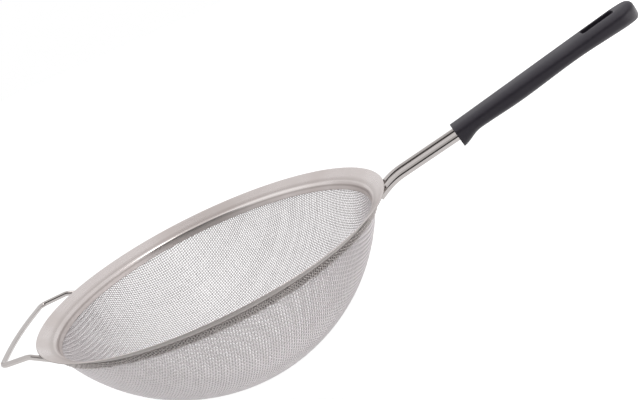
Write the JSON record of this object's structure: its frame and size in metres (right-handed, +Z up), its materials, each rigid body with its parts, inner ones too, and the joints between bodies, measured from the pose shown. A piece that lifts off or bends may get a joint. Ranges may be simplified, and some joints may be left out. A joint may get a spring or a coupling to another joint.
{
  "type": "fine mesh sieve",
  "caption": "Round kitchen sieve with a bowl of woven wire in a flared sheet-steel rim, a bent-wire rest hook, and a dark moulded grip on welded rods with a hanging slot at its end.",
  "frame": {"origin": "on the ground under the middle of the whole sieve's box", "axes": "+X along the handle towards the grip's end, +Z up out of the bowl's mouth, the rim level"},
  "size_m": [0.403, 0.2208, 0.118],
  "materials": {
    "rim_steel": "satin stainless sheet with faint marks round the ring",
    "wire_cloth": "plain-woven stainless wire",
    "polished_wire": "polished stainless wire",
    "grip_plastic": "charcoal moulded plastic with a fine satin grain"
  },
  "bodies": {
    "root": {"rim_ring": "rim_steel", "mesh_bowl": "wire_cloth", "mesh_hem": "wire_cloth", "rest_hook": "polished_wire", "handle_rod_left": "polished_wire", "handle_rod_right": "polished_wire", "grip": "grip_plastic", "rod_weld_left_a": "rim_steel", "rod_weld_left_b": "rim_steel", "rod_weld_right_a": "rim_steel", "rod_weld_right_b": "rim_steel", "hook_weld_left_a": "rim_steel", "hook_weld_left_b": "rim_steel", "hook_weld_right_a": "rim_steel", "hook_weld_right_b": "rim_steel"}
  },
  "joints": []
}
